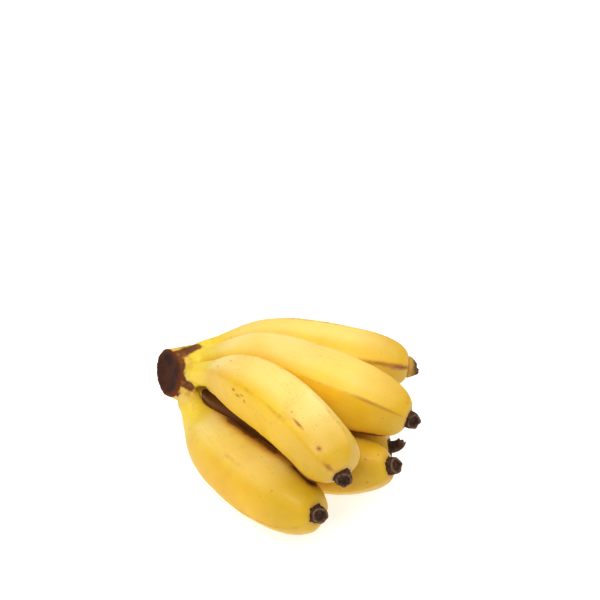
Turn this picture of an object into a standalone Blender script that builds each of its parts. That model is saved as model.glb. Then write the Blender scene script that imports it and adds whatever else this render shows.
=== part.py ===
"""A hand of six short, stout apple bananas on one crown, lying on its lower fingers.

The fingers grow in two rows of three from one crown with a cut face. Each finger has a
thin neck, a full angular body pressed against its neighbours, and a dried blossom end.

Axes: +X runs from the crown to the tips, +Y across the hand, +Z up. The hand stands on
z = 0 with the middle of its box on the origin. Shape numbers are in millimetres.
"""
import math

import bpy
import numpy as np

# Sizes shared by the whole hand, in millimetres
MM = 0.001
HAND_MIDDLE = np.array([-11.2, -2.5, 0.0])     # middle of the box round the hand, in shape numbers
FINGER_SIDES = 20          # corners round a finger
FINGER_RINGS = 30          # rings along a finger
JOINT_AT = 3.5             # distance along a finger's middle line where it leaves the crown
JOINT_GAP = 0.3            # clear space between two pieces that touch
SKIN_GAP = 0.5             # clear space between two pressed fingers
CUT_CLEARANCE = 0.4        # clear space between the crown and the swelling of a finger

# Girth of the body from the end of the neck to the tip: share of length, share of radius
BODY_GIRTH = [(0.0, 0.34), (0.07, 0.50), (0.16, 0.75), (0.27, 0.93), (0.40, 1.0), (0.60, 1.0),
              (0.76, 0.96), (0.865, 0.86), (0.93, 0.72), (0.97, 0.57), (1.0, 0.37)]
NECK_REACH = 0.3           # share of the body over which it is never thinner than the neck
# How angular the five-sided section is: share of length, share of a full pentagon
ANGULAR = [(0.0, 0.8), (0.1, 0.8), (0.3, 0.65), (0.5, 0.75), (0.7, 0.9), (0.9, 1.0), (1.0, 0.6)]
RIDGES = 5
SLIM_FROM = 0.6            # share of its length from where a finger with a slim tip gets slimmer
BLUNT_FROM = 0.75          # share of its length from where a finger with a blunt tip is fuller
BLUNT_PEAK = 256 / 27      # makes the greatest value of u ** 3 * (1 - u) one
RING_CROWDING = 0.06       # how much closer the rings stand at both ends
LENGTH_SAMPLES = 400       # points on a middle line when its length is measured
AXIS_SAMPLES = 160         # points on a neighbour's middle line when fingers are pressed
LEAST_SPOKE = 0.5          # least distance from the middle line to a pressed skin
PRESS_STEPS = 18           # halvings used to find how far a pressed skin gives way

# Each finger: four points that steer its middle line, the radius of its body, the length
# and radius of its neck, the turn of its ridges in degrees, how marked they are, the way its
# blossom end bends off the middle line and the colour of its skin. Some fingers have a slim or
# a blunt tip, as a share of girth lost or gained there, and some a blossom end of another
# length, girth at the base and girth at the rim, as shares of the usual
FINGERS = {
    "finger_low_front": dict(
        points=[(-60, -8, 31), (-48.5, -13.5, 13), (-5.5, -44.5, 14.5), (33.5, -61.5, 26)],
        radius=18.6, neck=3, neck_radius=6.5, turn=40, ridged=0.45, lean=(-0.4, -0.6, 0.3),
        skin=(0.83, 0.58, 0.06)),
    "finger_top_front": dict(
        points=[(-60.5, 1, 41), (-33.2, -3.4, 58.1), (18.8, -32.9, 61.1), (42.8, -53, 46.8)],
        radius=16.8, neck=10, neck_radius=6.8, turn=46, ridged=0.9, lean=(-0.3, -0.45, 0.65),
        blunt_tip=0.2, skin=(0.86, 0.62, 0.07)),
    "finger_low_middle": dict(
        points=[(-61.5, 1.5, 31), (-38.5, -7, 11), (14, -18.5, 12.2), (56.5, -18, 30)],
        radius=17.3, neck=8, neck_radius=6.2, turn=36, ridged=0.6, lean=(-0.1, -0.3, 0.25),
        slim_tip=0.08, skin=(0.76, 0.55, 0.06)),
    "finger_low_back": dict(
        points=[(-66, 15.5, 31), (-49.5, 26.5, 16), (22, 4.5, 10), (46.8, 10.4, 18)],
        radius=17.5, neck=10, neck_radius=6.2, turn=30, ridged=0.6, lean=(-0.5, 0.7, 1.0),
        end_size=(2.1, 0.72, 0.6), skin=(0.78, 0.56, 0.06)),
    "finger_top_middle": dict(
        points=[(-64.5, 13, 41), (-42.5, 14, 54), (7, 4.5, 56.5), (58, 2.5, 45.3)],
        radius=18.2, neck=10, neck_radius=6.2, turn=46, ridged=1.0, lean=(-0.3, -0.6, 0.5),
        skin=(0.86, 0.63, 0.07)),
    "finger_top_back": dict(
        points=[(-68, 23, 38), (-56.5, 31, 49), (3.5, 40.5, 43), (40.2, 55.6, 37.2)],
        radius=17.7, neck=11, neck_radius=6.0, turn=46, ridged=0.9, lean=(0, 0, 0.5),
        slim_tip=0.09, end_size=(1.35, 1.27, 0.88), skin=(0.85, 0.61, 0.07)),
}

# The crown: sections from the cut face to the roots, each a middle, two half widths and
# how boxy its outline is (1 for an oval)
CROWN_SECTIONS = [
    ((-77.0, 0.7, 38.5), (-6.8, 7.6, 7.0), (6.4, -0.4, 8.8), 1.0),
    ((-74.0, 3.0, 37.6), (-6.8, 9.4, 5.8), (5.6, 0.2, 9.6), 0.95),
    ((-70.0, 6.0, 36.6), (-6.0, 12.6, 3.8), (4.0, 0.6, 11.0), 0.85),
    ((-65.0, 7.8, 36.2), (-4.8, 15.6, 2.6), (2.4, 0.6, 12.2), 0.75),
    ((-61.5, 8.2, 36.0), (-4.2, 14.8, 2.2), (1.6, 0.6, 11.6), 0.75),
]
CROWN_SIDES = 24
CROWN_HUB = np.array([-70.0, 5.0, 36.0])     # where the roots of all fingers come together
ROOT_INSET = 0.6           # share of the way from a finger's start to the hub
ROOT_NARROWING = 0.8       # girth of a root at its inner end, as a share of the neck's
ROOT_OVERRUN = 1.0         # how far a root first runs past its joint, before it is cleared
CUT_DISH = 1.2             # how far the cut face is dished in the middle
DISH_SIZE = 0.45           # size of the deepest ring of the dish, as a share of the cut face
CROWN_COLOUR = (0.30, 0.17, 0.06)

# A blossom end: share of its length, radius; the last rings go back into the dried cup
BLOSSOM_LENGTH = 3.2
BLOSSOM_RINGS = [(0.0, 4.5), (0.35, 4.4), (0.75, 4.3), (0.95, 3.9), (1.0, 3.3), (0.85, 2.6), (0.6, 1.6)]
BLOSSOM_SIDES = 20
BLOSSOM_LOBES = 0.04       # depth of its five lobes as a share of the radius
BLOSSOM_COLOUR = (0.10, 0.05, 0.03)


def clear_scene():
    """Start from an empty scene."""
    for thing in list(bpy.data.objects):
        bpy.data.objects.remove(thing, do_unlink=True)


def smooth_curve(x, table):
    """A smooth curve through the table's points that never overshoots them."""
    xs, ys = np.array(table, float).T
    steps = np.diff(xs)
    slopes = np.diff(ys) / steps
    ends = np.zeros(len(xs))
    ends[0], ends[-1] = slopes[0], slopes[-1]
    same_way = slopes[:-1] * slopes[1:] > 0
    before, after = steps[1:] + 2 * steps[:-1], 2 * steps[1:] + steps[:-1]
    safe = np.where(same_way, slopes[:-1] * slopes[1:], 1.0)
    harmonic = (before + after) * safe / (before * slopes[1:] + after * slopes[:-1] + (~same_way))
    ends[1:-1] = np.where(same_way, harmonic, 0.0)
    i = np.clip(np.searchsorted(xs, x, side="right") - 1, 0, len(steps) - 1)
    u = (x - xs[i]) / steps[i]
    return ((1 + 2 * u) * (1 - u) ** 2 * ys[i] + u * (1 - u) ** 2 * steps[i] * ends[i]
            + u * u * (3 - 2 * u) * ys[i + 1] + u * u * (u - 1) * steps[i] * ends[i + 1])


def middle_line(points, t):
    """Points and directions on the cubic curve steered by four points."""
    p = np.array(points, float)
    t = np.asarray(t, float)[:, None]
    s = 1 - t
    place = s ** 3 * p[0] + 3 * s * s * t * p[1] + 3 * s * t * t * p[2] + t ** 3 * p[3]
    along = s * s * (p[1] - p[0]) + 2 * s * t * (p[2] - p[1]) + t * t * (p[3] - p[2])
    return place, along / np.linalg.norm(along, axis=1)[:, None]


def even_steps(points, shares):
    """Curve parameters at the given shares of the middle line's length, and that length."""
    t = np.linspace(0, 1, LENGTH_SAMPLES)
    place, _ = middle_line(points, t)
    run = np.concatenate([[0], np.cumsum(np.linalg.norm(np.diff(place, axis=0), axis=1))])
    return np.interp(np.asarray(shares) * run[-1], run, t), run[-1]


def side_directions(along):
    """Two directions square to each tangent, carried along without twisting, first one up."""
    first = np.zeros_like(along)
    carried = np.array([0.0, 0.0, 1.0])
    for i, way in enumerate(along):
        carried = carried - (carried @ way) * way
        carried = carried / np.linalg.norm(carried)
        first[i] = carried
    return first, np.cross(along, first)


def girth(finger, shares, length):
    """Radius of a finger at shares of its length: a thin neck, then the body."""
    neck_share = finger["neck"] / length
    body = np.clip((shares - neck_share) / (1 - neck_share), 0, 1)
    swelling = smooth_curve(body, BODY_GIRTH) * finger["radius"]
    held = np.where(body < NECK_REACH, np.maximum(swelling, finger["neck_radius"]), swelling)
    slim = np.clip((shares - SLIM_FROM) / (1 - SLIM_FROM), 0, 1)
    near_tip = np.clip((shares - BLUNT_FROM) / (1 - BLUNT_FROM), 0, 1)
    blunt = BLUNT_PEAK * near_tip ** 3 * (1 - near_tip)
    tip = 1 - finger.get("slim_tip", 0.0) * slim + finger.get("blunt_tip", 0.0) * blunt
    return np.where(shares < neck_share, finger["neck_radius"], held) * tip


def finger_rings(finger, shares):
    """Middles, tangents, spokes and lengths of spokes of a finger's rings, and its round girth."""
    t, length = even_steps(finger["points"], shares)
    middles, along = middle_line(finger["points"], t)
    up, across = side_directions(along)
    corner = np.linspace(0, 2 * math.pi, FINGER_SIDES, endpoint=False)
    side = 2 * math.pi / RIDGES
    pentagon = math.cos(side / 2) / np.cos(corner % side - side / 2)
    pentagon = pentagon / pentagon.mean()
    angular = np.interp(shares, *np.array(ANGULAR).T) * finger["ridged"]
    round_girth = girth(finger, shares, length)[:, None]
    reach = round_girth * (1 + (pentagon - 1) * angular[:, None])
    turned = corner + math.radians(finger["turn"])
    spokes = (np.cos(turned)[None, :, None] * up[:, None]
              + np.sin(turned)[None, :, None] * across[:, None])
    return middles, spokes, reach, round_girth


def press(name, middles, spokes, reach, round_girth):
    """Shorten the spokes where a finger lies against its neighbours, so both give way."""
    pressed = reach.copy()
    for other, neighbour in FINGERS.items():
        if other == name:
            continue
        shares = np.linspace(0, 1, AXIS_SAMPLES)
        t, length = even_steps(neighbour["points"], shares)
        line, _ = middle_line(neighbour["points"], t)
        thick = girth(neighbour, shares, length)

        def room(spoke_length):
            skin = middles[:, None] + spokes * spoke_length[..., None]
            away = np.linalg.norm(skin[:, :, None] - line, axis=-1) - thick
            return away.min(-1) - (spoke_length - round_girth)

        tight = room(reach) < SKIN_GAP
        low, high = np.full_like(reach, LEAST_SPOKE), reach.copy()
        for _ in range(PRESS_STEPS):
            half = (low + high) / 2
            fits = room(half) >= SKIN_GAP
            low, high = np.where(fits, half, low), np.where(fits, high, half)
        pressed = np.where(tight, np.minimum(pressed, low), pressed)
    return pressed


def ring_mesh(name, rings, flat_on_table=False):
    """A closed mesh through rings of points, with a fan over the first and the last ring."""
    rings = np.array(rings, float)
    if flat_on_table:
        rings[..., 2] = np.maximum(rings[..., 2], 0.0)
    count, sides = rings.shape[:2]
    first = rings[0].mean(axis=0)
    last = rings[-1].mean(axis=0)
    verts = np.vstack([rings.reshape(-1, 3), first, last]) - HAND_MIDDLE
    faces = []
    for i in range(count - 1):
        for j in range(sides):
            a, b = i * sides + j, i * sides + (j + 1) % sides
            faces += [(a, b, b + sides), (a, b + sides, a + sides)]
    start, end = count * sides, count * sides + 1
    for j in range(sides):
        k = (j + 1) % sides
        faces += [(start, k, j), (end, (count - 1) * sides + j, (count - 1) * sides + k)]
    mesh = bpy.data.meshes.new(name)
    mesh.from_pydata((verts * MM).tolist(), [], faces)
    mesh.update()
    piece = bpy.data.objects.new(name, mesh)
    bpy.context.scene.collection.objects.link(piece)
    return piece


def finish(piece, colour, roughness):
    """Give a piece its own material and smooth shading."""
    material = bpy.data.materials.new(piece.name + " material")
    material.use_nodes = True
    shader = material.node_tree.nodes["Principled BSDF"]
    shader.inputs["Base Color"].default_value = (*colour, 1)
    shader.inputs["Roughness"].default_value = roughness
    shader.inputs["Metallic"].default_value = 0.0
    piece.data.materials.clear()
    piece.data.materials.append(material)
    piece.data.polygons.foreach_set("use_smooth", [True] * len(piece.data.polygons))


def combine(piece, other, operation):
    """Join a second solid to the piece, or take it away, and drop the second solid."""
    step = piece.modifiers.new(operation.lower(), "BOOLEAN")
    step.operation, step.solver, step.object = operation, "EXACT", other
    bpy.context.view_layer.update()
    evaluated = piece.evaluated_get(bpy.context.evaluated_depsgraph_get())
    result = bpy.data.meshes.new_from_object(evaluated)
    piece.modifiers.clear()
    piece.data = result
    bpy.data.objects.remove(other, do_unlink=True)


def build_finger(name, finger):
    """One finger from its joint with the crown to the flat end under its blossom end."""
    _, length = even_steps(finger["points"], [1.0])
    even = np.linspace(0, 1, FINGER_RINGS)
    crowded = even - RING_CROWDING * np.sin(2 * math.pi * even)
    start = (JOINT_AT + JOINT_GAP / 2) / length
    middles, spokes, reach, round_girth = finger_rings(finger, start + (1 - start) * crowded)
    reach = press(name, middles, spokes, reach, round_girth)
    piece = ring_mesh(name, middles[:, None] + spokes * reach[..., None], flat_on_table=True)
    finish(piece, finger["skin"], roughness=0.42)
    return middles, spokes, reach


def root_of(name, finger):
    """The root of a finger inside the crown, running a little past its joint."""
    _, length = even_steps(finger["points"], [1.0])
    shares = np.array([0.0, JOINT_AT / 2, JOINT_AT, JOINT_AT + ROOT_OVERRUN]) / length
    middles, spokes, reach, round_girth = finger_rings(finger, shares)
    reach = press(name, middles, spokes, reach, round_girth)
    inward = (CROWN_HUB - middles[0]) * ROOT_INSET
    inner = middles[0] + inward + spokes[0] * reach[0][:, None] * ROOT_NARROWING
    rings = np.concatenate([inner[None], middles[:, None] + spokes * reach[..., None]])
    return ring_mesh(name + " root", rings)


def boxy(value, shape):
    """Push a cosine or sine outwards, so that an oval becomes a rounded box."""
    return np.sign(value) * np.abs(value) ** shape


def build_crown(skins):
    """The crown: a lofted block with a dished cut face, six roots, cleared of the fingers."""
    turn = np.linspace(0, 2 * math.pi, CROWN_SIDES, endpoint=False)[:, None]
    rings = [np.array(middle) + boxy(np.cos(turn), shape) * np.array(wide)
             + boxy(np.sin(turn), shape) * np.array(high)
             for middle, wide, high, shape in CROWN_SECTIONS]
    middle, wide, high = (np.array(v) for v in CROWN_SECTIONS[0][:3])
    inward = np.cross(wide, high)
    dish = middle + inward / np.linalg.norm(inward) * CUT_DISH
    rings = [dish + (rings[0] - middle) * DISH_SIZE] + rings
    crown = ring_mesh("crown", rings)
    for name, finger in FINGERS.items():
        combine(crown, root_of(name, finger), "UNION")
    for name, (middles, spokes, reach) in skins.items():
        swollen = middles[:, None] + spokes * (reach + CUT_CLEARANCE)[..., None]
        back = (middles[1] - middles[0]) / np.linalg.norm(middles[1] - middles[0]) * JOINT_GAP
        swollen[0] -= back
        combine(crown, ring_mesh(name + " clearance", swollen), "DIFFERENCE")
    finish(crown, CROWN_COLOUR, roughness=0.75)


def build_blossom_end(name, finger):
    """The dried blossom end: a short five-lobed stub that bends, with a cup in its face."""
    end, along = middle_line(finger["points"], [1.0])
    up, across = side_directions(along)
    turn = np.linspace(0, 2 * math.pi, BLOSSOM_SIDES, endpoint=False)
    lobes = 1 + BLOSSOM_LOBES * np.cos(RIDGES * turn)
    turned = turn + math.radians(finger["turn"])
    lean = np.array(finger["lean"])
    longer, base_girth, rim_girth = finger.get("end_size", (1.0, 1.0, 1.0))
    rings = []
    for share, radius in BLOSSOM_RINGS:
        way = along[0] + lean * share ** 2
        way = way / np.linalg.norm(way)
        first = up[0] - (up[0] @ way) * way
        first = first / np.linalg.norm(first)
        spokes = np.cos(turned)[:, None] * first + np.sin(turned)[:, None] * np.cross(way, first)
        halfway = along[0] + lean * share ** 2 / 3
        halfway = halfway / np.linalg.norm(halfway)
        middle = end[0] + along[0] * JOINT_GAP + halfway * share * BLOSSOM_LENGTH * longer
        thicker = base_girth + (rim_girth - base_girth) * share
        rings.append(middle + spokes * (lobes * radius * thicker)[:, None])
    piece = ring_mesh(name.replace("finger", "blossom_end"), rings)
    finish(piece, BLOSSOM_COLOUR, roughness=0.85)


def build():
    """Build the whole hand."""
    clear_scene()
    skins = {name: build_finger(name, finger) for name, finger in FINGERS.items()}
    build_crown(skins)
    for name, finger in FINGERS.items():
        build_blossom_end(name, finger)


build()
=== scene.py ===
# %% [markdown]
# # A hand of apple bananas
# Six short, stout bananas sit in two rows on one crown. Nature grows them as one body, so
# nothing here moves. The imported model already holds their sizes; this notebook gives each
# of its pieces a smooth skin, and then the colours, flecks and dried ends of ripe fruit.

import math

import bpy
import numpy as np
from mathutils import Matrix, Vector


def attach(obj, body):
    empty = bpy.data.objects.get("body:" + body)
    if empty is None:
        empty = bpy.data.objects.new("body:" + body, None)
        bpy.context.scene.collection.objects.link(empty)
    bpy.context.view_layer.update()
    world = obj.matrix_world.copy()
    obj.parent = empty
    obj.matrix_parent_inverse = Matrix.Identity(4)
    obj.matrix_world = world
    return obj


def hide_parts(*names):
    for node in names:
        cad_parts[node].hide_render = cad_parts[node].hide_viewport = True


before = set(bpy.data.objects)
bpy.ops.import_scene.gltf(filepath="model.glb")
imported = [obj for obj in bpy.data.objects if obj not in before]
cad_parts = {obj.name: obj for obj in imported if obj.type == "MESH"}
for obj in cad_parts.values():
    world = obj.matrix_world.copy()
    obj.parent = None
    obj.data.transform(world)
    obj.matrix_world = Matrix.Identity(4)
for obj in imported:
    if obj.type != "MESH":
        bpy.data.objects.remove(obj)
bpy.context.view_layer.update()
MM = 0.001
print("pieces in the model:", ", ".join(sorted(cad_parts)))

# %% [markdown]
# ## Where each finger runs
# A banana bends along a smooth curve. Four points steer it: it starts at the first, heads
# for the second, comes in from the third and ends at the last. They are the points that
# the model itself was built from, so every skin made here fits its finger. Girth is a
# short table: how thick the body is, at shares of its length. Each finger also says how its
# ridges are turned and how marked they are, and which way its dried end leans.

# %% The fingers' own numbers, in millimetres
HAND_MIDDLE = np.array([-11.2, -2.5, 0.0])
BODY_GIRTH = [(0.0, 0.34), (0.07, 0.50), (0.16, 0.75), (0.27, 0.93), (0.40, 1.0), (0.60, 1.0),
              (0.76, 0.96), (0.865, 0.86), (0.93, 0.72), (0.97, 0.57), (1.0, 0.37)]
JOINT_AT = 3.5              # distance along a finger where it leaves the crown
RIDGES = 5
CURVE_SAMPLES = 400         # points used to measure a middle line
LINE_STEPS = 400            # places along a middle line where its ends and lengths matter
SKIN_STEPS = 240            # places along it that the points of a skin are compared with
# radius and neck_radius are those of the body and of the neck, and neck is the neck's length.
# turn is in degrees. end_size is a dried end's length, girth at its base and girth at its rim,
# as shares of the usual ones, and light_flank marks the one end with a tan side
FINGERS = {
    "low_front": dict(
        points=[(-60, -8, 31), (-48.5, -13.5, 13), (-5.5, -44.5, 14.5), (33.5, -61.5, 26)],
        radius=18.6, neck=3, neck_radius=6.5, turn=40, ridged=0.45, lean=(-0.4, -0.6, 0.3)),
    "top_front": dict(
        points=[(-60.5, 1, 41), (-33.2, -3.4, 58.1), (18.8, -32.9, 61.1), (42.8, -53, 46.8)],
        radius=16.8, neck=10, neck_radius=6.8, turn=46, ridged=0.9, lean=(-0.3, -0.45, 0.65)),
    "low_middle": dict(
        points=[(-61.5, 1.5, 31), (-38.5, -7, 11), (14, -18.5, 12.2), (56.5, -18, 30)],
        radius=17.3, neck=8, neck_radius=6.2, turn=36, ridged=0.6, lean=(-0.1, -0.3, 0.25)),
    "low_back": dict(
        points=[(-66, 15.5, 31), (-49.5, 26.5, 16), (22, 4.5, 10), (46.8, 10.4, 18)],
        radius=17.5, neck=10, neck_radius=6.2, turn=30, ridged=0.6, lean=(-0.5, 0.7, 1.0),
        end_size=(2.1, 0.72, 0.6)),
    "top_middle": dict(
        points=[(-64.5, 13, 41), (-42.5, 14, 54), (7, 4.5, 56.5), (58, 2.5, 45.3)],
        radius=18.2, neck=10, neck_radius=6.2, turn=46, ridged=1.0, lean=(-0.3, -0.6, 0.5)),
    "top_back": dict(
        points=[(-68, 23, 38), (-56.5, 31, 49), (3.5, 40.5, 43), (40.2, 55.6, 37.2)],
        radius=17.7, neck=11, neck_radius=6.0, turn=46, ridged=0.9, lean=(0, 0, 0.5),
        end_size=(1.35, 1.27, 0.88), light_flank=True),
}


def middle_line(points, steps):
    """Evenly spaced places and directions on a finger's middle line, and its length, in mm."""
    p = np.array(points, float) - HAND_MIDDLE
    t = np.linspace(0, 1, CURVE_SAMPLES)[:, None]
    s = 1 - t
    place = s ** 3 * p[0] + 3 * s * s * t * p[1] + 3 * s * t * t * p[2] + t ** 3 * p[3]
    run = np.concatenate([[0], np.cumsum(np.linalg.norm(np.diff(place, axis=0), axis=1))])
    even = np.linspace(0, run[-1], steps)
    places = np.stack([np.interp(even, run, place[:, k]) for k in range(3)], axis=1)
    along = np.gradient(places, axis=0)
    return places, along / np.linalg.norm(along, axis=1)[:, None], run[-1]


def side_directions(along):
    """Two directions square to the middle line, carried along without twisting."""
    first = np.zeros_like(along)
    carried = np.array([0.0, 0.0, 1.0])
    for i, way in enumerate(along):
        carried = carried - (carried @ way) * way
        carried = carried / np.linalg.norm(carried)
        first[i] = carried
    return first, np.cross(along, first)


for name, finger in FINGERS.items():
    print(name, "is", round(middle_line(finger["points"], LINE_STEPS)[2]), "mm along its middle line")

# %% [markdown]
# ## Camera, floor and light
# The camera looks down at the hand from the front. A long lens keeps the far tips nearly
# as large as the near ones. The floor and the background are plain and pale, and two wide
# soft lamps stand where a studio has its light boxes: a large one behind on the right,
# which, with a painted highlight in the skin, gives each finger its pale stripe, and one
# high above the front. A weak one at the front left keeps the low side from going dark.

# %% Camera and stage
CAMERA_DISTANCE = 0.8       # metres
CAMERA_TURN = math.radians(22)
CAMERA_LIFT = math.radians(38)
LENS = 92.3                 # mm
AIM_HEIGHT = 30.0           # height above the floor that the camera and lamps aim at, in mm
FRAME_SHIFT = (-0.5 / 600, 119.5 / 600)    # the hand lies below the middle of the picture
FLOOR_SIZE = 6.0            # metres
WORLD_LIGHT = 0.33
LAMP_WHITE = (1.0, 0.985, 0.96)


def direction(turn, lift):
    """A unit vector for a compass turn from the front and a lift above the floor."""
    return Vector((math.sin(turn) * math.cos(lift), -math.cos(turn) * math.cos(lift), math.sin(lift)))


target = Vector((-HAND_MIDDLE[0], -HAND_MIDDLE[1], AIM_HEIGHT)) * MM
bpy.ops.object.camera_add(location=target + direction(CAMERA_TURN, CAMERA_LIFT) * CAMERA_DISTANCE)
camera = bpy.context.object
camera.rotation_euler = (-direction(CAMERA_TURN, CAMERA_LIFT)).to_track_quat("-Z", "Y").to_euler()
camera.data.lens = LENS
camera.data.shift_x, camera.data.shift_y = FRAME_SHIFT
bpy.context.scene.camera = camera

bpy.ops.mesh.primitive_plane_add(size=FLOOR_SIZE, location=(0, 0, 0))
floor = bpy.context.object
floor.name = "floor"

world = bpy.data.worlds.new("studio")
world.use_nodes = True
world.node_tree.nodes["Background"].inputs["Color"].default_value = (1.0, 1.0, 1.0, 1)
world.node_tree.nodes["Background"].inputs["Strength"].default_value = WORLD_LIGHT
bpy.context.scene.world = world
bpy.context.scene.view_settings.view_transform = "Standard"


def softbox(turn, lift, distance, size, watts, colour):
    """A square area light that faces the hand."""
    way = direction(math.radians(turn), math.radians(lift))
    bpy.ops.object.light_add(type="AREA", location=target + way * distance)
    lamp = bpy.context.object
    lamp.rotation_euler = way.to_track_quat("Z", "Y").to_euler()
    lamp.data.size, lamp.data.energy, lamp.data.color = size, watts, colour


softbox(turn=140, lift=58, distance=1.3, size=1.2, watts=10.5, colour=LAMP_WHITE)
softbox(turn=-5, lift=60, distance=1.3, size=0.9, watts=11, colour=LAMP_WHITE)
softbox(turn=-35, lift=35, distance=1.5, size=1.1, watts=2, colour=(1.0, 0.99, 0.97))
print("camera at", [round(v, 3) for v in camera.location])

# %% [markdown]
# ## Small helpers for modelling by hand
# Blender's operators work on whatever is selected, so each step starts from nothing
# selected. Modifiers are applied as soon as they are set, which leaves a plain mesh.


# %% Helpers
def select_only(*things):
    """Select these objects and nothing else; the last one is active."""
    bpy.ops.object.select_all(action="DESELECT")
    for thing in things:
        thing.select_set(True)
        bpy.context.view_layer.objects.active = thing


def modify(thing, kind, **settings):
    """Add a modifier with its settings and apply it."""
    select_only(thing)
    step = thing.modifiers.new(kind.lower(), kind)
    for key, value in settings.items():
        setattr(step, key, value)
    bpy.ops.object.modifier_apply(modifier=step.name)


def corners(thing):
    """All points of a mesh as one array, in metres."""
    flat = np.empty(len(thing.data.vertices) * 3)
    thing.data.vertices.foreach_get("co", flat)
    return flat.reshape(-1, 3)


def move_corners(thing, places):
    """Write all points of a mesh back."""
    thing.data.vertices.foreach_set("co", places.ravel())
    thing.data.update()


WELD_DISTANCE = 0.00002         # metres
FLAT_ENOUGH = math.radians(60)  # triangles that meet flatter than this become one quad


def merged_copy(node_name, copy_name):
    """A copy of a model node with its loose triangles welded together."""
    copy = bpy.data.objects.new(copy_name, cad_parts[node_name].data.copy())
    bpy.context.scene.collection.objects.link(copy)
    select_only(copy)
    bpy.ops.object.mode_set(mode="EDIT")
    bpy.ops.mesh.select_all(action="SELECT")
    bpy.ops.mesh.remove_doubles(threshold=WELD_DISTANCE)
    bpy.ops.mesh.tris_convert_to_quads(face_threshold=FLAT_ENOUGH, shape_threshold=FLAT_ENOUGH)
    bpy.ops.object.mode_set(mode="OBJECT")
    return copy


def store(thing, name, values):
    """Store one number for each point of a mesh, for its material to read."""
    thing.data.attributes.new(name, "FLOAT", "POINT").data.foreach_set("value", values)


def drop(thing):
    """Remove a helper object that isn't part of the hand."""
    bpy.data.objects.remove(thing, do_unlink=True)


def dress(thing, material):
    """Give a finished mesh its only material and smooth shading."""
    select_only(thing)
    bpy.ops.object.shade_smooth()
    thing.data.materials.clear()
    thing.data.materials.append(material)


# %% [markdown]
# ## Shader maths in plain Python
# A procedural material is arithmetic on noise. Wrapping each socket in a small class lets
# that arithmetic be written as Python: adding two sockets adds a Math node. Colours go
# through Mix nodes instead, because a Math node would turn them grey.


# %% The shader helper
RELIEF = 0.0006             # depth of the finest relief, in metres


class Wire:
    """A value in a material; arithmetic on it adds Math nodes."""

    def __init__(self, paint, socket):
        self.paint, self.socket = paint, socket

    def math(self, operation, *others, first=None):
        """One Math node on this value and the others; first is a value that comes before it."""
        values = [self, *others] if first is None else [first, self, *others]
        return self.paint.node("ShaderNodeMath", {"operation": operation}, dict(enumerate(values)))

    def __add__(self, other): return self.math("ADD", other)
    def __radd__(self, other): return self.math("ADD", other)
    def __sub__(self, other): return self.math("SUBTRACT", other)
    def __rsub__(self, other): return self.math("SUBTRACT", first=other)
    def __mul__(self, other): return self.math("MULTIPLY", other)
    def __truediv__(self, other): return self.math("DIVIDE", other)
    def __pow__(self, other): return self.math("POWER", other)

    def clear(self):
        """Keep the value between 0 and 1."""
        return self.paint.node("ShaderNodeClamp", {}, {"Value": self})

    def step(self, low, high):
        """0 below low, 1 above high and smooth between; low may be the larger."""
        return self.paint.node("ShaderNodeMapRange", {"interpolation_type": "SMOOTHSTEP"},
                               {"Value": self, "From Min": low, "From Max": high,
                                "To Min": 0.0, "To Max": 1.0})


class Paint:
    """A material being mixed."""

    def __init__(self, name, uniform):
        self.material = bpy.data.materials.new(name)
        self.material.use_nodes = True
        self.tree = self.material.node_tree
        self.shader = self.tree.nodes["Principled BSDF"]
        for key, value in uniform.items():
            self.shader.inputs[key].default_value = value

    def put(self, socket, value):
        """Plug a wire into a socket, or set its number or colour."""
        if isinstance(value, Wire):
            self.tree.links.new(value.socket, socket)
        elif isinstance(value, tuple) and len(value) == 3 and socket.type == "RGBA":
            socket.default_value = (*value, 1)
        else:
            socket.default_value = value

    def node(self, kind, settings=None, inputs=None, out=0):
        """One node: its settings first, then the values or wires of its sockets."""
        node = self.tree.nodes.new(kind)
        for key, value in (settings or {}).items():
            setattr(node, key, value)
        for key, value in (inputs or {}).items():
            self.put(node.inputs[key], value)
        return Wire(self, node.outputs[out])

    def mix(self, under, over, share):
        """Lay one colour over another by a share."""
        return self.node("ShaderNodeMix", {"data_type": "RGBA"}, {0: share, 6: under, 7: over}, out=2)

    def place(self):
        """Object coordinates, in metres."""
        return self.node("ShaderNodeTexCoord", out=3)

    def attribute(self, name):
        """A value stored on the mesh."""
        return self.node("ShaderNodeAttribute", {"attribute_name": name}, out=2)

    def noise(self, where, scale, detail=3.0, roughness=0.5):
        """Cloudy noise between 0 and 1."""
        return self.node("ShaderNodeTexNoise", {},
                         {"Vector": where, "Scale": scale, "Detail": detail, "Roughness": roughness})

    def cells(self, where, scale):
        """Distance to the middle of the nearest scattered cell."""
        return self.node("ShaderNodeTexVoronoi", {}, {"Vector": where, "Scale": scale})

    def split(self, where):
        """The first two numbers of a coordinate."""
        first = self.node("ShaderNodeSeparateXYZ", {}, {"Vector": where})
        return first, Wire(self, first.socket.node.outputs[1])

    def stretch(self, where, by, shift):
        """Stretch and shift a pattern's coordinates."""
        return self.node("ShaderNodeMapping", {}, {"Vector": where, "Scale": by, "Location": shift})

    def bump(self, height, strength):
        """A bump from a height that never stands out more than the fine relief of a skin."""
        return self.node("ShaderNodeBump", {},
                         {"Height": height, "Strength": strength, "Distance": RELIEF})

    def finish(self, wires):
        """Plug the finished values into the surface."""
        for key, value in wires.items():
            self.put(self.shader.inputs[key], value)
        return self.material
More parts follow.
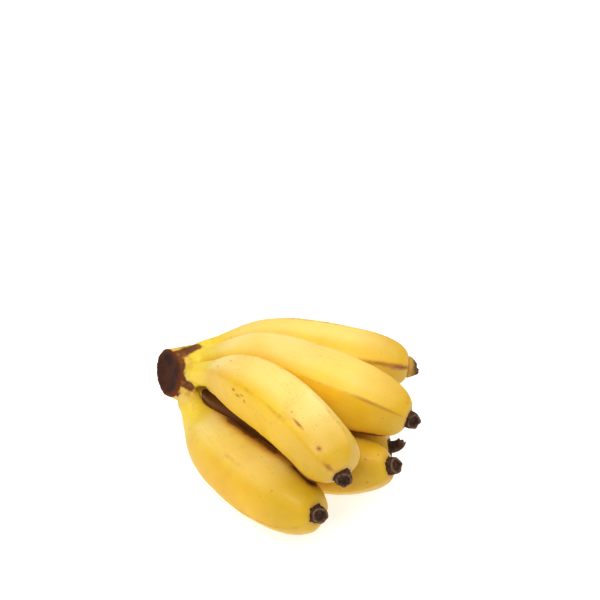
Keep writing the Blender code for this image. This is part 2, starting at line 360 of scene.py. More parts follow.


# %% [markdown]
# ## Ripe skin
# Ripe banana skin is waxy yellow, but never one yellow: it is greener at the neck and the
# tip, and browner along its five ridges, with small dark flecks all over. A painted
# highlight lightens one flank of each finger, and painted shade darkens the crevice between
# the two rows. Two things place those changes: a map on the skin itself, which says how
# far along and how far round each point lies, and plain position, which scatters the flecks.

# %% The skin's material
YELLOW = (0.83, 0.52, 0.010)
DEEP_YELLOW = (0.76, 0.39, 0.004)
# Pale yellow: lighter skin at random, and the painted highlight along one flank
PALE_YELLOW_AND_HIGHLIGHT = (0.93, 0.79, 0.31)
OLIVE = (0.57, 0.33, 0.003)
NECK_YELLOW = (0.85, 0.61, 0.045)
TAN = (0.55, 0.27, 0.028)
BROWN = (0.24, 0.070, 0.005)
# Rust brown is worn skin; with the shade orange and the dark red-brown after it, it also paints the
# shade in the crevice between the rows
RUST_AND_CREVICE_SHADE = (0.46, 0.19, 0.014)
SHADE_ORANGE = (0.66, 0.28, 0.008)
CREVICE_SHADE_DARK = (0.105, 0.022, 0.006)
DARK_BROWN = (0.050, 0.016, 0.007)


def neck_colours(paint, where):
    """Colour of a neck: pale yellow with tan patches; the crown uses it too."""
    patches = paint.noise(where, 140.0, 3.0, 0.6)
    colour = paint.mix(NECK_YELLOW, OLIVE, patches.step(0.45, 0.75) * 0.15)
    return paint.mix(colour, TAN, paint.noise(where, 210.0, 4.0, 0.65).step(0.56, 0.70) * 0.35)


def skin_material(name, tint, flecks, ridge_wear, seed, painted_highlight=0.6, highlight_at=0.9, marks=(),
                  crevice_shade=(3.6, 3.6, 0.0)):
    """Skin with its own tint from warm (0) to olive (1), flecks, ridge wear and marks.

    A painted highlight lightens one flank, by the given strength, around a middle given as a
    share of a turn. A mark is the middle of a spot, along the finger and round it, its half length and
    half width as shares of the finger's length and of a full turn, and how dark it is. The painted
    shade in the crevice between the two rows reaches so many millimetres: in the half near the
    root, in the half near the tip, and how many more towards the crown.
    """
    paint = Paint(name, {"Specular IOR Level": 0.4, "Subsurface Weight": 0.05,
                         "Subsurface Scale": 0.002})
    plain = paint.place()
    where = paint.stretch(plain, (1, 1, 1), (seed, seed * 0.7, seed * 0.3))
    skin_map = paint.node("ShaderNodeUVMap", {"uv_map": "skin_map"})
    along, around = paint.split(skin_map)
    from_tip = paint.attribute("from_tip")
    from_root = paint.attribute("from_root")
    ridge = (around * (2 * math.pi * RIDGES)).math("COSINE")
    lengthwise = paint.stretch(skin_map, (5.0, 90.0, 1.0), (seed, seed, 0))
    rough_edge = paint.noise(where, 420.0, 4.0, 0.65)

    # Warm patches, a painted highlight along one flank, fibres along the finger, olive tips and creamy
    # necks
    patches = paint.noise(where, 38.0).step(0.35, 0.68)
    mottling = paint.noise(where, 105.0).step(0.4, 0.7)
    colour = paint.mix(YELLOW, DEEP_YELLOW, patches * 0.6 + mottling * 0.25)
    # Painted highlight: a pale stripe along one flank of each finger, lighter in patches
    flank = ((around - highlight_at + 0.5).math("FRACT") - 0.5).math("ABSOLUTE").step(0.17, 0.08)
    flank = flank * along.step(0.04, 0.2) * along.step(0.98, 0.75)
    pale = paint.noise(where, 22.0, 2.0).step(0.40, 0.75)
    colour = paint.mix(colour, PALE_YELLOW_AND_HIGHLIGHT, (flank * painted_highlight * (0.55 + pale * 0.45) + pale * 0.15).clear())
    fibres = paint.noise(lengthwise, 1.0, 4.0, 0.6).step(0.35, 0.75)
    colour = paint.mix(colour, DEEP_YELLOW, fibres * 0.12)
    olive = (from_tip.step(42.0, 12.0) * 0.78 + tint * 0.45) * (0.5 + paint.noise(where, 90.0) * 0.9)
    colour = paint.mix(colour, OLIVE, olive.clear())
    neck = (from_root + (paint.noise(plain, 120.0) - 0.5) * 14.0).step(22.0, 7.0)
    colour = paint.mix(colour, neck_colours(paint, plain), neck)

    # Worn ridges, scattered flecks in two sizes, and a tan blush
    on_ridge = ridge.step(0.93, 1.0)
    worn = on_ridge * paint.noise(where, 70.0, 2.0).step(0.42, 0.68) * rough_edge.step(0.30, 0.60)
    worn = worn * along.step(0.2, 0.45)
    colour = paint.mix(colour, RUST_AND_CREVICE_SHADE, (worn * ridge_wear).clear())
    spots = paint.cells(where, 230.0).step(0.20, 0.08)
    clusters = paint.noise(where, 60.0, 2.0).step(0.50, 0.66)
    spotted = spots * clusters * paint.noise(where, 260.0).step(0.40, 0.6)
    colour = paint.mix(colour, BROWN, spotted * flecks)
    fine = paint.cells(where, 620.0).step(0.22, 0.05) * paint.noise(where, 120.0).step(0.46, 0.60)
    colour = paint.mix(colour, BROWN, fine * flecks * 0.8)
    blush = paint.noise(where, 55.0, 4.0, 0.6).step(0.60, 0.76)
    colour = paint.mix(colour, TAN, blush * flecks * 0.35)

    # The marks of this finger
    for middle, turn, half_length, half_width, darkness in marks:
        off = ((around - turn + 0.5).math("FRACT") - 0.5) / half_width
        away = (off * off + ((along - middle) / half_length) ** 2).math("SQRT")
        away = away + (rough_edge - 0.5) * 1.2
        colour = paint.mix(colour, RUST_AND_CREVICE_SHADE, (away.step(1.5, 0.6) * darkness * 0.8).clear())
        colour = paint.mix(colour, BROWN, (away.step(0.95, 0.2) * darkness).clear())

    # Painted shade in the crevice between the rows, from orange through rust brown to nearly black where
    # the other row comes closest
    near_root, near_tip, towards_crown = crevice_shade
    reach_of_crevice_shade = near_root + along.step(0.56, 0.78) * (near_tip - near_root)
    reach_of_crevice_shade = reach_of_crevice_shade + from_root.step(85.0, 66.0) * towards_crown
    between = paint.attribute("to_other_row") - reach_of_crevice_shade + (rough_edge - 0.5) * 1.2
    colour = paint.mix(colour, SHADE_ORANGE, between.step(2.8, 0.0) * 0.6)
    colour = paint.mix(colour, RUST_AND_CREVICE_SHADE, between.step(1.2, 0.0) * 0.6)
    colour = paint.mix(colour, CREVICE_SHADE_DARK, between.step(0.2, -0.5) * 0.88)

    # The dry collar under the blossom end
    reach = from_tip - ridge.step(0.3, 1.0) * 0.7 + (rough_edge - 0.5) * 1.6
    colour = paint.mix(colour, TAN, reach.step(7.0, 4.8) * 0.5)
    collar = reach.step(4.9, 4.5)
    colour = paint.mix(colour, DARK_BROWN, collar)

    fine_grain = paint.noise(where, 1500.0, 3.0)
    height = fibres * 0.08 + fine_grain * 0.2 + paint.noise(where, 160.0, 2.0) * 0.7 - spotted * 0.3
    rough = 0.38 + paint.noise(where, 120.0) * 0.16 + collar * 0.35 + worn * 0.2
    return paint.finish({"Base Color": colour, "Roughness": rough,
                         "Normal": paint.bump(height, 0.35)})


# Each skin's highlight settings place its painted highlight, and its crevice settings its painted
# crevice shade
SKINS = {
    "low_front": skin_material("skin_low_front", tint=0.05, flecks=0.55, ridge_wear=0.35, seed=1.3,
                               crevice_shade=(7.0, 4.5, 0.0)),
    "top_front": skin_material("skin_top_front", tint=0.0, flecks=0.85, ridge_wear=0.5, seed=2.7,
                               highlight_at=0.84, painted_highlight=0.75, crevice_shade=(4.0, 6.4, 0.0),
                               marks=[(0.775, 0.963, 0.032, 0.008, 0.75),
                                      (0.908, 0.959, 0.012, 0.014, 0.9),
                                      (0.40, 0.035, 0.012, 0.008, 0.7),
                                      (0.43, 0.052, 0.018, 0.007, 0.6),
                                      (0.455, 0.038, 0.012, 0.006, 0.6),
                                      (0.475, 0.060, 0.010, 0.010, 0.5),
                                      (0.975, 0.985, 0.02, 0.02, 0.6)]),
    "low_middle": skin_material("skin_low_middle", tint=0.1, flecks=0.7, ridge_wear=0.3, seed=4.1,
                                crevice_shade=(3.6, 2.4, 9.0)),
    "low_back": skin_material("skin_low_back", tint=0.2, flecks=0.5, ridge_wear=0.3, seed=5.9),
    "top_middle": skin_material("skin_top_middle", tint=0.0, flecks=0.45, ridge_wear=0.5, seed=7.7,
                                highlight_at=0.84, marks=[(0.88, 0.0, 0.14, 0.010, 0.35)]),
    "top_back": skin_material("skin_top_back", tint=0.0, flecks=0.4, ridge_wear=0.6, seed=9.1,
                              highlight_at=0.78, painted_highlight=0.8,
                              marks=[(0.88, 0.004, 0.15, 0.014, 0.5),
                                     (0.955, 0.012, 0.06, 0.024, 1.0)]),
}
print("mixed", len(SKINS), "skins")

# %% [markdown]
# ## A finger's skin
# A banana could be carved from a block, but it is easier to grow it straight: a ring of
# points at the neck is extruded again and again, wider each time and then narrower, into
# a straight blank. A Curve modifier bends the blank along its middle line, and Shrinkwrap
# lays it on the model's finger, which is already pressed flat where its neighbours lie.
# Subdivision then rounds it, and a slight swelling and sinking makes it fruit.

# %% Grow, bend and fit one finger
BLANK_SIDES = 40
BLANK_RINGS = 44
RING_CROWDING = 0.06        # moves rings towards both ends of the blank, where its girth changes most
ROOT_SHRINK = 0.78          # the hidden start of a finger, inside the crown, is thinner
SKIN_LEVELS = 2
SWELLING, SWELLING_SIZE = 0.00035, 0.016   # the skin's slight unevenness, in metres
NECK_SHARE = 0.3            # share of the body over which it is never thinner than the neck
NECK_GIRTH = 6.3            # mean radius of a neck, in mm
RIDGE_WIDTH = 1.9           # how far a ridge reaches to each side, in mm
# Height of a ridge: share of the finger's length, mm
RIDGE_LIFT = [(0.0, 0.0), (0.2, 0.1), (0.5, 0.25), (0.8, 0.45), (0.95, 0.5), (1.0, 0.1)]
OUTSIDE = "outside_the_crown"  # the points that are fitted to the model
FIT_FROM, FIT_OVER = 0.3, 1.5  # where past its joint a skin starts to be fitted, over what length
PAST_TIP = 120              # mm past the tip that count as one more finger's length
BATCHES = 40                # points are compared in batches, to spare memory
NEIGHBOUR_STEPS = 120       # places along a neighbour's middle line
FAR_AWAY, LEAST = 99.0, 0.01   # mm


def blank_radius(finger, share, length):
    """Radius of the straight blank at a share of its length, in mm."""
    neck = finger["neck"] / length
    body = max(0.0, (share - neck) / (1 - neck))
    swelling = np.interp(body, *np.array(BODY_GIRTH).T) * finger["radius"]
    radius = max(swelling, finger["neck_radius"]) if body < NECK_SHARE else swelling
    hidden = max(0.0, 1 - share * length / JOINT_AT)
    return radius * (1 - (1 - ROOT_SHRINK) * hidden)


def straight_blank(name, finger, length):
    """A straight banana along X, closed at both ends."""
    even = np.linspace(0, 1, BLANK_RINGS)
    shares = even - RING_CROWDING * np.sin(2 * math.pi * even)
    radii = [blank_radius(finger, share, length) * MM for share in shares]
    bpy.ops.object.select_all(action="DESELECT")
    bpy.ops.mesh.primitive_circle_add(vertices=BLANK_SIDES, radius=radii[0], fill_type="TRIFAN",
                                      location=(0, 0, 0), rotation=(0, math.pi / 2, 0))
    blank = bpy.context.object
    blank.name = name
    bpy.ops.object.transform_apply(location=True, rotation=True, scale=True)
    bpy.ops.object.mode_set(mode="EDIT")
    bpy.ops.mesh.select_all(action="SELECT")
    for before, after, old, new in zip(shares, shares[1:], radii, radii[1:]):
        step = (after - before) * length * MM
        bpy.ops.mesh.extrude_region_move(TRANSFORM_OT_translate={"value": (step, 0, 0)})
        bpy.ops.transform.resize(value=(1, new / old, new / old),
                                 center_override=(after * length * MM, 0, 0))
    bpy.ops.mesh.select_all(action="SELECT")
    bpy.ops.mesh.normals_make_consistent(inside=False)
    bpy.ops.object.mode_set(mode="OBJECT")
    return blank


def middle_curve(finger):
    """The finger's middle line as a curve object."""
    p = [Vector((np.array(point) - HAND_MIDDLE) * MM) for point in finger["points"]]
    bpy.ops.object.select_all(action="DESELECT")
    bpy.ops.curve.primitive_bezier_curve_add(location=(0, 0, 0))
    line = bpy.context.object
    start, end = line.data.splines[0].bezier_points
    for knot in (start, end):
        knot.handle_left_type = knot.handle_right_type = "FREE"
    start.co, start.handle_left, start.handle_right = p[0], 2 * p[0] - p[1], p[1]
    end.co, end.handle_left, end.handle_right = p[3], p[2], 2 * p[3] - p[2]
    line.data.splines[0].resolution_u = 64
    line.data.twist_mode = "MINIMUM"
    return line


def places_on(thing, finger):
    """Where points lie on a finger: share of its length, way off its middle line and angle."""
    places, along, _ = middle_line(finger["points"], SKIN_STEPS)
    up, across = side_directions(along)
    points = corners(thing) / MM
    nearest = np.concatenate([np.linalg.norm(part[:, None] - places, axis=2).argmin(axis=1)
                              for part in np.array_split(points, BATCHES)])
    off = points - places[nearest]
    angle = np.arctan2(np.einsum("ij,ij->i", off, across[nearest]),
                       np.einsum("ij,ij->i", off, up[nearest])) - math.radians(finger["turn"])
    return nearest / (SKIN_STEPS - 1), off, angle


def lay_skin_map(thing, finger):
    """Store how far along and how far round each point of the skin lies, as a UV map."""
    share, off, angle = places_on(thing, finger)
    places, along, length = middle_line(finger["points"], SKIN_STEPS)
    store(thing, "from_tip", np.linalg.norm(corners(thing) / MM - places[-1], axis=1))
    store(thing, "from_root", share * length - JOINT_AT)
    beyond = np.where(share == 1, np.maximum(off @ along[-1], 0), 0)
    share = share + beyond / PAST_TIP
    turn = (angle / (2 * math.pi)) % 1.0
    layer = thing.data.uv_layers.new(name="skin_map")
    corner_points = np.empty(len(thing.data.loops), int)
    thing.data.loops.foreach_get("vertex_index", corner_points)
    starts = np.empty(len(thing.data.polygons), int)
    thing.data.polygons.foreach_get("loop_start", starts)
    round_way = turn[corner_points]
    highest = np.repeat(np.maximum.reduceat(round_way, starts), np.diff([*starts, len(round_way)]))
    round_way = np.where(highest - round_way > 0.5, round_way + 1, round_way)
    layer.data.foreach_set("uv", np.stack([share[corner_points], round_way], axis=1).ravel())


def girth(finger, shares, length):
    """Radius of a finger at shares of its length, in mm."""
    neck = finger["neck"] / length
    body = np.clip((shares - neck) / (1 - neck), 0, 1)
    return np.maximum(np.interp(body, *np.array(BODY_GIRTH).T) * finger["radius"], NECK_GIRTH)


def mark_other_row(thing, name):
    """Store how far each point of the skin is from the nearest finger of the other row."""
    points = corners(thing) / MM
    nearest = np.full(len(points), FAR_AWAY)
    for other, finger in FINGERS.items():
        if other.split("_")[0] != name.split("_")[0]:
            places, _, length = middle_line(finger["points"], NEIGHBOUR_STEPS)
            thick = girth(finger, np.linspace(0, 1, NEIGHBOUR_STEPS), length)
            for rows in np.array_split(np.arange(len(points)), BATCHES):
                gap = np.linalg.norm(points[rows][:, None] - places, axis=2) - thick
                nearest[rows] = np.minimum(nearest[rows], gap.min(axis=1))
    store(thing, "to_other_row", nearest)


def lift_ridges(thing, finger):
    """Raise a soft edge along each of the five ridges, higher towards the tip."""
    share, off, angle = places_on(thing, finger)
    away = np.linalg.norm(off, axis=1)
    from_ridge = np.abs((angle * RIDGES / (2 * math.pi) + 0.5) % 1 - 0.5) * 2 * math.pi / RIDGES * away
    height = np.interp(share, *np.array(RIDGE_LIFT).T) * finger["ridged"]
    lift = height * np.exp(-(from_ridge / RIDGE_WIDTH) ** 2)
    points = corners(thing) / MM + off / np.maximum(away, LEAST)[:, None] * lift[:, None]
    move_corners(thing, points * MM)


def grow_finger(name, finger):
    """One finished finger skin in its place."""
    _, _, length = middle_line(finger["points"], LINE_STEPS)
    skin = straight_blank("skin_of_finger_" + name, finger, length)
    free = skin.vertex_groups.new(name=OUTSIDE)
    reach = corners(skin)[:, 0] / MM
    for i, x in enumerate(reach):
        free.add([i], float(np.clip((x - JOINT_AT - FIT_FROM) / FIT_OVER, 0, 1)), "REPLACE")
    line = middle_curve(finger)
    modify(skin, "CURVE", object=line, deform_axis="POS_X")
    body = merged_copy("finger_" + name, "body")
    modify(body, "SUBSURF", levels=1, render_levels=1)
    modify(skin, "SHRINKWRAP", target=body, wrap_method="NEAREST_SURFACEPOINT", vertex_group=OUTSIDE)
    modify(skin, "SMOOTH", factor=0.5, iterations=3, vertex_group=OUTSIDE)
    modify(skin, "SUBSURF", levels=SKIN_LEVELS, render_levels=SKIN_LEVELS)
    cloud = bpy.data.textures.new("swelling", "CLOUDS")
    cloud.noise_scale = SWELLING_SIZE
    modify(skin, "DISPLACE", texture=cloud, texture_coords="GLOBAL", strength=SWELLING * 2,
           mid_level=0.5)
    lift_ridges(skin, finger)
    places = corners(skin)
    places[:, 2] = np.maximum(places[:, 2], 0.0)
    move_corners(skin, places)
    drop(line)
    drop(body)
    lay_skin_map(skin, finger)
    mark_other_row(skin, name)
    skin.vertex_groups.clear()
    dress(skin, SKINS[name])
    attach(skin, "root")
    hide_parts("finger_" + name)
    return skin


for name, finger in FINGERS.items():
    skin = grow_finger(name, finger)
    print(skin.name, "has", len(skin.data.polygons), "faces")

# %% [markdown]
# ## Dried blossom ends
# The flower once sat on the tip of each finger. What is left is a short, dark, five-lobed
# cap with a rim and a sunken middle. It is modelled once, standing on its base: a ring is
# extruded up the outside, over the rim and down into the cup. Each finger gets its own
# copy, turned to the tip's direction, and noise from its place crumples every copy anew.

# %% The blossom end's material
DRY_BLACK, DRY_BROWN = (0.026, 0.010, 0.005), (0.11, 0.048, 0.020)
LIGHT_FLANK, RIM_BROWN = (0.50, 0.28, 0.045), (0.21, 0.115, 0.058)


def blossom_material():
    """Dry, crumpled and nearly black, with a browner rim and, on one finger, a tan flank."""
    paint = Paint("dried_blossom", {"Roughness": 0.85, "Specular IOR Level": 0.25})
    where = paint.place()
    crumple = paint.noise(where, 700.0, 5.0, 0.65)
    flank = (paint.attribute("flank") * (0.5 + crumple)).clear()
    rim = paint.attribute("rim") * crumple.step(0.30, 0.55)
    colour = paint.mix(DRY_BLACK, DRY_BROWN, crumple.step(0.4, 0.7) * 0.7)
    colour = paint.mix(colour, LIGHT_FLANK, flank)
    colour = paint.mix(colour, RIM_BROWN, rim * 0.75)
    height = crumple + paint.noise(where, 2600.0) * 0.3
    return paint.finish({"Base Color": colour, "Normal": paint.bump(height, 0.8)})


BLOSSOM_MATERIAL = blossom_material()
print("mixed", BLOSSOM_MATERIAL.name)

# %% [markdown]
# The cap's outline is a list of rings. Its copies differ in length, in girth and in the way
# they lean, because each flower dried in its own way.

# %% Model one cap and place six copies
CAP_SIDES = 40
CAP_LENGTH = 3.2            # mm
# Height and radius of each ring in mm, up the outside, over the rim and down into the cup
CAP_PROFILE = [(-1.4, 4.5), (-0.3, 4.55), (0.4, 4.5), (1.2, 4.42), (1.9, 4.35), (2.45, 4.25),
               (2.85, 4.05), (3.1, 3.75), (3.2, 3.4), (3.1, 3.05), (2.75, 2.75), (2.4, 2.4),
               (2.2, 1.9), (2.25, 1.4), (2.5, 1.0), (2.6, 0.6), (2.6, 0.2)]
CAP_LOBES = 0.03            # depth of the five lobes, as a share of the radius
LOBE_RADIUS = 4.0           # where the lobes are fully formed, in mm
LOBE_LIFT = 0.2             # how much higher the rim stands at a lobe, in mm
RIM_FROM = 2.5              # height where the rim begins, in mm
RIM_RADIUS, RIM_WIDTH = 3.5, 0.55  # in mm
CAP_CRUMPLE = 0.00014       # metres
CRUMPLE_SIZE = 0.0022       # metres


def model_cap():
    """The blossom end at the origin, pointing up, in metres."""
    bpy.ops.object.select_all(action="DESELECT")
    height, radius = CAP_PROFILE[0]
    bpy.ops.mesh.primitive_circle_add(vertices=CAP_SIDES, radius=radius * MM, fill_type="TRIFAN",
                                      location=(0, 0, height * MM))
    cap = bpy.context.object
    bpy.ops.object.transform_apply(location=True, rotation=True, scale=True)
    bpy.ops.object.mode_set(mode="EDIT")
    bpy.ops.mesh.select_all(action="SELECT")
    for (low, old), (high, new) in zip(CAP_PROFILE, CAP_PROFILE[1:]):
        bpy.ops.mesh.extrude_region_move(TRANSFORM_OT_translate={"value": (0, 0, (high - low) * MM)})
        bpy.ops.transform.resize(value=(new / old, new / old, 1), center_override=(0, 0, high * MM))
    bpy.ops.mesh.select_all(action="SELECT")
    bpy.ops.mesh.normals_make_consistent(inside=False)
    bpy.ops.object.mode_set(mode="OBJECT")
    places = corners(cap)
    angle = np.arctan2(places[:, 1], places[:, 0])
    outer = np.clip(np.hypot(places[:, 0], places[:, 1]) / (LOBE_RADIUS * MM), 0, 1)
    lobe = np.cos(RIDGES * angle) * outer
    places[:, :2] *= 1 + CAP_LOBES * lobe[:, None]
    places[:, 2] += LOBE_LIFT * MM * lobe * (places[:, 2] > RIM_FROM * MM)
    move_corners(cap, places)
    return cap


def mark_rim(cap):
    """Store where the rim of the cap is, before the cap is turned into place."""
    places = corners(cap) / MM
    radius = np.hypot(places[:, 0], places[:, 1])
    on_rim = np.exp(-((radius - RIM_RADIUS) / RIM_WIDTH) ** 2) * (places[:, 2] > RIM_FROM)
    store(cap, "rim", on_rim)
    store(cap, "flank", np.zeros(len(places)))


def bend_cap(cap, finger):
    """Stand the cap on a finger's tip and bend it off the middle line, as the real one is."""
    places, along, _ = middle_line(finger["points"], LINE_STEPS)
    up, _ = side_directions(along)
    lean = np.array(finger["lean"])
    longer, base_girth, rim_girth = finger.get("end_size", (1.0, 1.0, 1.0))
    x, y, z = (corners(cap) / MM).T
    share = np.clip(z / CAP_LENGTH, 0, None)
    thicker = base_girth + (rim_girth - base_girth) * share
    x, y, share = x * thicker, y * thicker, share[:, None]
    z = np.where(z > 0, z * longer, z)
    way = along[-1] + lean * share ** 2
    way = way / np.linalg.norm(way, axis=1)[:, None]
    first = up[-1] - (way @ up[-1])[:, None] * way
    first = first / np.linalg.norm(first, axis=1)[:, None]
    second = np.cross(way, first)
    halfway = along[-1] + lean * share ** 2 / 3
    halfway = halfway / np.linalg.norm(halfway, axis=1)[:, None]
    turn = math.radians(finger["turn"])
    out = x * math.cos(turn) - y * math.sin(turn)
    side = x * math.sin(turn) + y * math.cos(turn)
    bent = places[-1] + halfway * z[:, None] + first * out[:, None] + second * side[:, None]
    move_corners(cap, bent * MM)
    if "light_flank" in finger:
        light = np.clip(1.15 - share[:, 0] * 1.3, 0, 1)     # fades out towards the rim
        cap.data.attributes["flank"].data.foreach_set("value", light)


def place_cap(model, name, finger):
    """A copy of the cap on a finger's tip."""
    cap = model.copy()
    cap.data = model.data.copy()
    cap.name = "cap_of_finger_" + name
    bpy.context.scene.collection.objects.link(cap)
    bend_cap(cap, finger)
    crumple = bpy.data.textures.new("crumple", "CLOUDS")
    crumple.noise_scale = CRUMPLE_SIZE
    crumple.noise_depth = 3
    modify(cap, "DISPLACE", texture=crumple, texture_coords="GLOBAL", strength=CAP_CRUMPLE * 2,
           mid_level=0.5)
    dress(cap, BLOSSOM_MATERIAL)
    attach(cap, "root")
    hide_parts("blossom_end_" + name)
    return cap


cap_model = model_cap()
modify(cap_model, "SUBSURF", levels=2, render_levels=2)
mark_rim(cap_model)
for name, finger in FINGERS.items():
    cap = place_cap(cap_model, name, finger)
    print(cap.name, "has", len(cap.data.polygons), "faces")
drop(cap_model)

# %% [markdown]
# ## The crown
# Where the fingers meet, their necks melt into one woody pad, cut through with a knife on
# the far side. The soft webs between the necks are the hard part. They come by themselves
# when the model's crown and the first stretch of every neck are joined and remeshed as one
# skin, which is then relaxed. Each neck thins as it runs on, so it dives under its finger.

# %% Join the crown and the necks into one skin
NECK_REACH = 9.0            # how far along a finger the crown's skin runs, in mm
NECK_DIVE = 1.3             # how much thinner it is at its end, in mm
NECK_SINK = 0.8             # how far a neck's first ring is sunk into the crown, in mm
FIRST_RING = 0.02           # share of the neck's reach that counts as its first ring
CROWN_VOXEL = 0.0007        # metres
BARK_RELIEF, BARK_SIZE = 0.0008, 0.006     # metres
# The cut face: its middle, its two half axes and the way it looks, in metres
CUT_MIDDLE = (np.array([-77.0, 0.7, 38.5]) - HAND_MIDDLE) * MM
CUT_WIDE, CUT_HIGH = np.array([-6.8, 7.6, 7.0]) * MM, np.array([6.4, -0.4, 8.8]) * MM
CUT_WAY = -np.cross(CUT_WIDE, CUT_HIGH) / np.linalg.norm(np.cross(CUT_WIDE, CUT_HIGH))


def diving_neck(name, finger):
    """The first stretch of a finger, cut off and thinned towards its end."""
    places, along, length = middle_line(finger["points"], LINE_STEPS)
    neck = merged_copy("finger_" + name, "neck")
    last = int((JOINT_AT + NECK_REACH) / length * (LINE_STEPS - 1))
    bpy.ops.object.mode_set(mode="EDIT")
    bpy.ops.mesh.select_all(action="SELECT")
    bpy.ops.mesh.bisect(plane_co=Vector(places[last]) * MM, plane_no=Vector(along[last]),
                        use_fill=True, clear_outer=True)
    bpy.ops.mesh.select_all(action="SELECT")
    bpy.ops.mesh.quads_convert_to_tris()
    bpy.ops.object.mode_set(mode="OBJECT")
    points = corners(neck) / MM
    nearest = np.linalg.norm(points[:, None] - places, axis=2).argmin(axis=1)
    off = points - places[nearest]
    away = np.linalg.norm(off, axis=1)[:, None]
    travel = nearest / (LINE_STEPS - 1) * length - JOINT_AT
    gone = np.clip(travel, 0, NECK_REACH)[:, None] / NECK_REACH
    backward = along[0] * NECK_SINK * (gone < FIRST_RING)
    inward = off / np.maximum(away, LEAST) * np.minimum(gone * NECK_DIVE, away * 0.5)
    points = points - inward - backward
    move_corners(neck, points * MM)
    return neck


crown = merged_copy("crown", "skin_of_crown")
necks = [diving_neck(name, finger) for name, finger in FINGERS.items()]
select_only(*necks, crown)
bpy.ops.object.join()
modify(crown, "REMESH", mode="VOXEL", voxel_size=CROWN_VOXEL)
modify(crown, "SMOOTH", factor=0.5, iterations=8)
modify(crown, "SUBSURF", levels=1, render_levels=1)
bark = bpy.data.textures.new("bark", "CLOUDS")
bark.noise_scale = BARK_SIZE
bark.noise_depth = 3
modify(crown, "DISPLACE", texture=bark, texture_coords="GLOBAL", strength=BARK_RELIEF, mid_level=0.5)
print("crown has", len(crown.data.polygons), "faces")

# %% [markdown]
# The crown changes from wood to skin within a centimetre. Four values stored on its points
# say where: how far each point has come towards the fingers, how deep it lies under the cut
# face, how far it is from the middle of the cut, and how much it lies on the scars and on the
# painted shade in the crease between the two front necks.

# %% Store where wood turns into skin
CROWN_STEPS = 200           # places along a middle line that the crown is compared with
ROUND_A_FINGER = 9.0        # the crown's skin within this distance belongs to a finger, in mm
# Scars on the crown, where other fingers came off, and last a painted shade in the crease between the
# two front necks: start, end and radius, in mm
SCARS_AND_CREASE_SHADE = [((-73.0, 4.0, 48.8), (-66.5, 15.5, 48.6), 2.9),
         ((-69.4, 2.1, 47.3), (-65.2, -3.8, 40.1), 2.4),
         # The last is painted shade in the crease between the two front necks, not a place where a
         # finger came off
         ((-64.5, -4.0, 38.5), (-60.0, -6.0, 39.0), 2.4)]
SCAR_AND_SHADE_FADE = 1.5             # radii from the middle of a scar to where it ends


def travel_to_fingers(points):
    """How far points have come along the finger they belong to; negative in the wood."""
    farthest = np.full(len(points), -ROUND_A_FINGER)
    for finger in FINGERS.values():
        places, along, length = middle_line(finger["points"], CROWN_STEPS)
        gap = np.linalg.norm(points[:, None] - places, axis=2)
        near = gap.argmin(axis=1)
        before = np.where(near == 0, (points - places[0]) @ along[0], 0)
        travel = near / (CROWN_STEPS - 1) * length + before
        farthest = np.where(gap.min(axis=1) < ROUND_A_FINGER, np.maximum(farthest, travel), farthest)
    return farthest


def scars_and_crease_shade(points):
    """1 on the scars and on the painted shade in a crease, and 0 beyond their edges."""
    on_scar_and_shade = np.zeros(len(points))
    for start, end, radius in SCARS_AND_CREASE_SHADE:
        start, end = np.array(start) - HAND_MIDDLE, np.array(end) - HAND_MIDDLE
        way = end - start
        share = np.clip((points - start) @ way / (way @ way), 0, 1)
        gap = np.linalg.norm(points - start - share[:, None] * way, axis=1)
        on_scar_and_shade = np.maximum(on_scar_and_shade, np.clip(SCAR_AND_SHADE_FADE - gap / radius, 0, 1))
    return on_scar_and_shade


crown_points = corners(crown)
under_cut = (crown_points - CUT_MIDDLE) @ -CUT_WAY / MM
from_middle = np.linalg.norm(crown_points - CUT_MIDDLE, axis=1) / MM
store(crown, "to_fingers", travel_to_fingers(crown_points / MM))
store(crown, "from_cut", under_cut)
store(crown, "from_middle", from_middle)
store(crown, "scar_and_shade", scars_and_crease_shade(crown_points / MM))
print("cut face reaches", round(from_middle[under_cut < 1.0].max(), 1), "mm from its middle")

# %% [markdown]
# The crown's own skin is tan bark with pale patches. Its scars, and the painted shade in the
# crease between the two front necks, are dark brown with a soft edge, and the cut face is a darker
# red-brown with fine pores and a lighter border.

# %% The crown's material
BARK, OLD_BARK, PALE_BARK = (0.72, 0.45, 0.06), (0.46, 0.21, 0.022), (0.82, 0.61, 0.18)
NECK_TAN = (0.60, 0.35, 0.05)
SCAR_AND_SHADE_DARK, SCAR_AND_SHADE_LIGHT = (0.12, 0.038, 0.009), (0.23, 0.085, 0.016)
CUT_RED, CUT_BLACK = (0.060, 0.014, 0.004), (0.026, 0.007, 0.003)
CUT_BORDER, CUT_PORES = (0.20, 0.048, 0.008), (0.15, 0.045, 0.012)


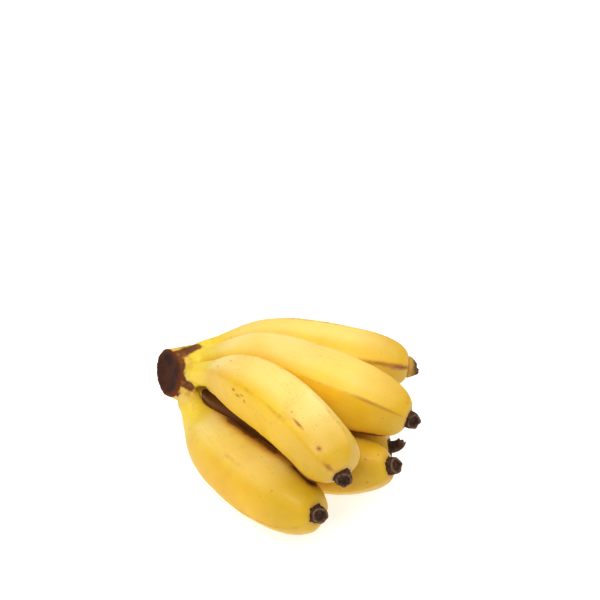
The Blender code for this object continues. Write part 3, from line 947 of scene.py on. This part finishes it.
def crown_material():
    """Bark that turns into neck skin on one side and into the cut face on the other."""
    paint = Paint("crown_wood", {"Specular IOR Level": 0.3})
    where = paint.place()
    ragged = paint.noise(where, 260.0, 4.0, 0.6)
    pale = paint.noise(where, 90.0).step(0.45, 0.7)
    colour = paint.mix(BARK, OLD_BARK, ragged.step(0.42, 0.66) * 0.7)
    colour = paint.mix(colour, PALE_BARK, pale * 0.5)

    neck = (paint.attribute("to_fingers") + (ragged - 0.5) * 7.0).step(-4.0, 3.0)
    colour = paint.mix(colour, paint.mix(neck_colours(paint, where), NECK_TAN, 0.15), neck)

    # Dark brown scars, and painted shade in the crease between the two front necks
    scarred_and_shaded = (paint.attribute("scar_and_shade") + (ragged - 0.5) * 0.9).step(0.10, 0.70)
    scar_and_shade_colour = paint.mix(SCAR_AND_SHADE_DARK, SCAR_AND_SHADE_LIGHT, ragged.step(0.45, 0.7))
    colour = paint.mix(colour, scar_and_shade_colour, scarred_and_shaded)

    from_middle = paint.attribute("from_middle")
    pores = paint.cells(where, 900.0).step(0.35, 0.15)
    cut_colour = paint.mix(CUT_RED, CUT_BLACK, paint.noise(where, 110.0).step(0.4, 0.65))
    cut_colour = paint.mix(cut_colour, CUT_BORDER, from_middle.step(9.0, 13.0) * 0.5)
    cut_colour = paint.mix(cut_colour, CUT_PORES, pores * 0.3)
    depth = paint.attribute("from_cut") - from_middle.step(13.0, 5.0) * 2.0     # the face is dished
    on_cut = (depth + (ragged - 0.5) * 0.8).step(1.7, 1.0) * from_middle.step(16.0, 14.5)
    colour = paint.mix(colour, cut_colour, on_cut)

    height = ragged + pores * on_cut * 0.5 + paint.noise(where, 1400.0) * 0.3
    rough = 0.42 + (on_cut + scarred_and_shaded).clear() * 0.35 + (1 - neck) * 0.2
    return paint.finish({"Base Color": colour, "Roughness": rough, "Normal": paint.bump(height, 0.5)})


dress(crown, crown_material())
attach(crown, "root")
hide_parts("crown")
print(crown.name, "has", len(crown.data.polygons), "faces")

# %% [markdown]
# ## Floor finish
# The floor is matt and glows a little, so that it stays white right up to the hand.

# %% Floor finish
floor_paint = Paint("pale_floor", {"Roughness": 0.9, "Specular IOR Level": 0.1})
floor.data.materials.append(floor_paint.finish({"Base Color": (0.55, 0.55, 0.55),
                                                "Emission Color": (1.0, 1.0, 1.0),
                                                "Emission Strength": 0.70}))
